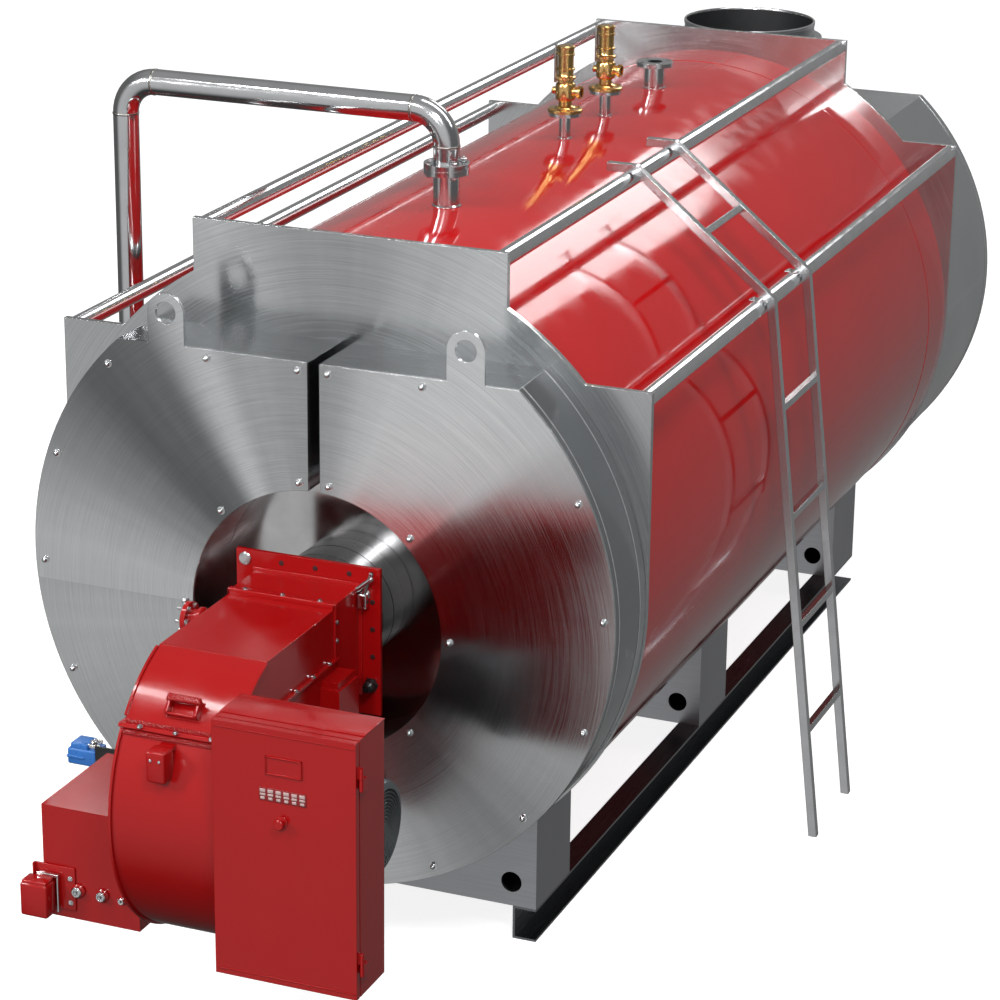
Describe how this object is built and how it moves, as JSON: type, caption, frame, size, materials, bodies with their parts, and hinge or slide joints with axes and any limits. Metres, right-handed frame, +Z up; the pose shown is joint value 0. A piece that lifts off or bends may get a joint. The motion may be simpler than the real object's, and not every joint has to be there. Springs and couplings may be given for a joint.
{
  "type": "industrial boiler",
  "caption": "Horizontal fire-tube steam boiler with red shell, stepped steel end plates, forced-draught burner, hinged control cabinet, side ladder, top valves and flue collar.",
  "frame": {"origin": "on the ground under the middle of the plant's bounding box", "axes": "+X towards the ladder side, +Y from the burner towards the flue end, +Z up"},
  "size_m": [2.5111, 5.58, 2.547],
  "materials": {
    "red_paint": "high gloss red enamel",
    "brushed_plate": "brushed stainless, nearly mirror bright",
    "polished_tube": "polished stainless tube",
    "valve_brass": "machined brass",
    "blue_casing": "blue plastic casing",
    "dark_metal": "dark grey enamel",
    "recess_steel": "dark polished steel",
    "flue_steel": "dark grey, satin",
    "base_steel": "brushed grey steel"
  },
  "bodies": {
    "boiler": {"air_intake_box": "red_paint", "air_servo": "red_paint", "base_rail_left": "base_steel", "base_rail_right": "base_steel", "blast_tube": "recess_steel", "boiler_shell": "red_paint", "burner_duct": "red_paint", "burner_flange": "red_paint", "cabinet_body": "red_paint", "damper_bracket": "dark_metal", "damper_drive": "blue_casing", "fan_housing_lower": "red_paint", "fan_housing_upper": "red_paint", "fan_motor": "dark_metal", "flue_collar": "flue_steel", "front_cover": "brushed_plate", "front_end_plate": "brushed_plate", "front_saddle": "base_steel", "front_smokebox": "brushed_plate", "gas_inlet": "red_paint", "housing_handle": "red_paint", "housing_latch": "red_paint", "housing_seam": "red_paint", "ignition_box": "red_paint", "ladder_rungs": "base_steel", "ladder_stile_front": "base_steel", "ladder_stile_rear": "base_steel", "lower_rail_left": "polished_tube", "lower_rail_right": "polished_tube", "middle_saddle": "base_steel", "motor_guard": "dark_metal", "rear_cover": "brushed_plate", "rear_end_plate": "brushed_plate", "rear_saddle": "base_steel", "rear_smokebox": "brushed_plate", "recess_liner": "recess_steel", "recess_plate": "recess_steel", "safety_valve_front": "valve_brass", "safety_valve_rear": "valve_brass", "spare_nozzle": "polished_tube", "steam_nozzle": "polished_tube", "steam_pipe": "polished_tube", "upper_rail_left": "polished_tube", "upper_rail_right": "polished_tube", "valve_stub_front": "polished_tube", "valve_stub_rear": "polished_tube"},
    "door": {"cabinet_door": "red_paint"}
  },
  "joints": [
    {"name": "cabinet_door_hinge", "type": "hinge", "parent": "boiler", "child": "door", "pos_m": [0.632, -2.78, 0.805], "axis": [0, 0, 1], "range_deg": [0, 110]}
  ]
}
